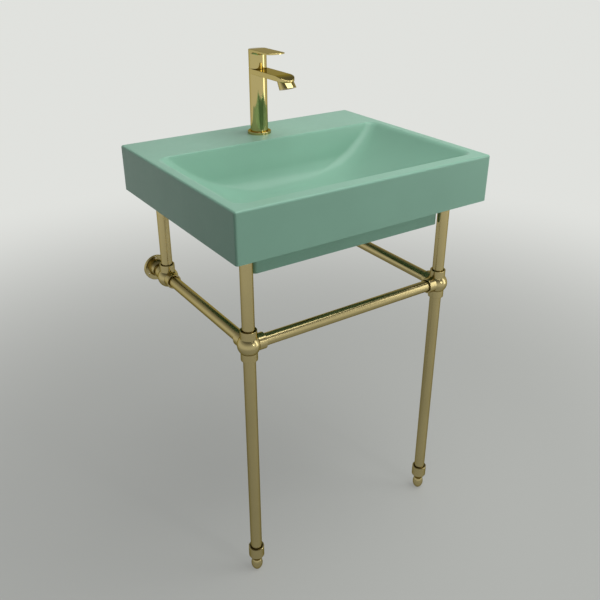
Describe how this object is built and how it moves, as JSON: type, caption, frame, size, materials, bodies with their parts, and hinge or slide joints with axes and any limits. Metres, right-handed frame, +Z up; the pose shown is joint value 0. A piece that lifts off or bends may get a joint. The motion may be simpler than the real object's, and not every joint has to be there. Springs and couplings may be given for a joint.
{
  "type": "console basin",
  "caption": "Rectangular ceramic console basin on a brass tube stand with ball corner joints, wall flanges, single-lever tap and push-open waste.",
  "frame": {"origin": "on the floor, midway across the width and midway between the basin's front and the wall", "axes": "+Z up, +Y towards the wall, +X to the right seen from the front"},
  "size_m": [0.5998, 0.4969, 1.0787],
  "materials": {
    "basin_glaze": "matte mint glaze",
    "stand_brass": "satin brushed pale brass",
    "tap_brass": "polished pale gold",
    "inner_brass": "plain machined",
    "seal_rubber": "black rubber",
    "inner_plastic": "moulded, off-white",
    "fixing_steel": "plain zinc-plated steel"
  },
  "bodies": {
    "basin_and_stand": {"basin_body": "basin_glaze", "waste_body": "tap_brass", "waste_tailpiece": "tap_brass", "waste_flange_seal": "seal_rubber", "waste_lower_seal": "seal_rubber", "tap_base_gasket": "seal_rubber", "tap_clamp_gasket": "seal_rubber", "post_top_pads": "seal_rubber", "waste_washer": "inner_plastic", "cartridge_case": "inner_plastic", "aerator_screen": "inner_plastic", "waste_nut": "inner_brass", "plug_latch_case": "inner_brass", "cartridge_nut": "inner_brass", "tap_stud_nut": "inner_brass", "leg_insert_left": "inner_brass", "leg_insert_right": "inner_brass", "plug_spring": "fixing_steel", "tap_stud": "fixing_steel", "tap_clamp_plate": "fixing_steel", "fitting_grub_screws": "fixing_steel", "tap_body": "tap_brass", "tap_base_ring": "tap_brass", "aerator_housing": "tap_brass", "front_rail": "stand_brass", "front_leg_left": "stand_brass", "front_post_left": "stand_brass", "rear_post_left": "stand_brass", "side_rail_left": "stand_brass", "wall_stub_left": "stand_brass", "front_fitting_left": "stand_brass", "rear_fitting_left": "stand_brass", "wall_flange_left": "stand_brass", "foot_left": "stand_brass", "front_leg_right": "stand_brass", "front_post_right": "stand_brass", "rear_post_right": "stand_brass", "side_rail_right": "stand_brass", "wall_stub_right": "stand_brass", "front_fitting_right": "stand_brass", "rear_fitting_right": "stand_brass", "wall_flange_right": "stand_brass", "foot_right": "stand_brass"},
    "lever_swivel": {"cartridge_swivel": "inner_brass", "lift_pin": "fixing_steel"},
    "lever": {"tap_lever": "tap_brass", "lever_screw": "fixing_steel", "cartridge_stem": "inner_brass"},
    "plug": {"waste_plug": "tap_brass", "plug_seal": "seal_rubber", "plug_plunger": "inner_brass"}
  },
  "joints": [
    {"name": "lever_turn", "type": "hinge", "parent": "basin_and_stand", "child": "lever_swivel", "pos_m": [0, 0.169, 1.0385], "axis": [0, 0, 1], "range_deg": [-45, 45]},
    {"name": "lever_lift", "type": "hinge", "parent": "lever_swivel", "child": "lever", "pos_m": [0, 0.169, 1.043], "axis": [-1, 0, 0], "range_deg": [0, 18]},
    {"name": "plug_lift", "type": "slide", "parent": "basin_and_stand", "child": "plug", "axis": [0, 0, 1], "range_m": [0, 0.008], "deforming": ["plug_spring"]}
  ]
}
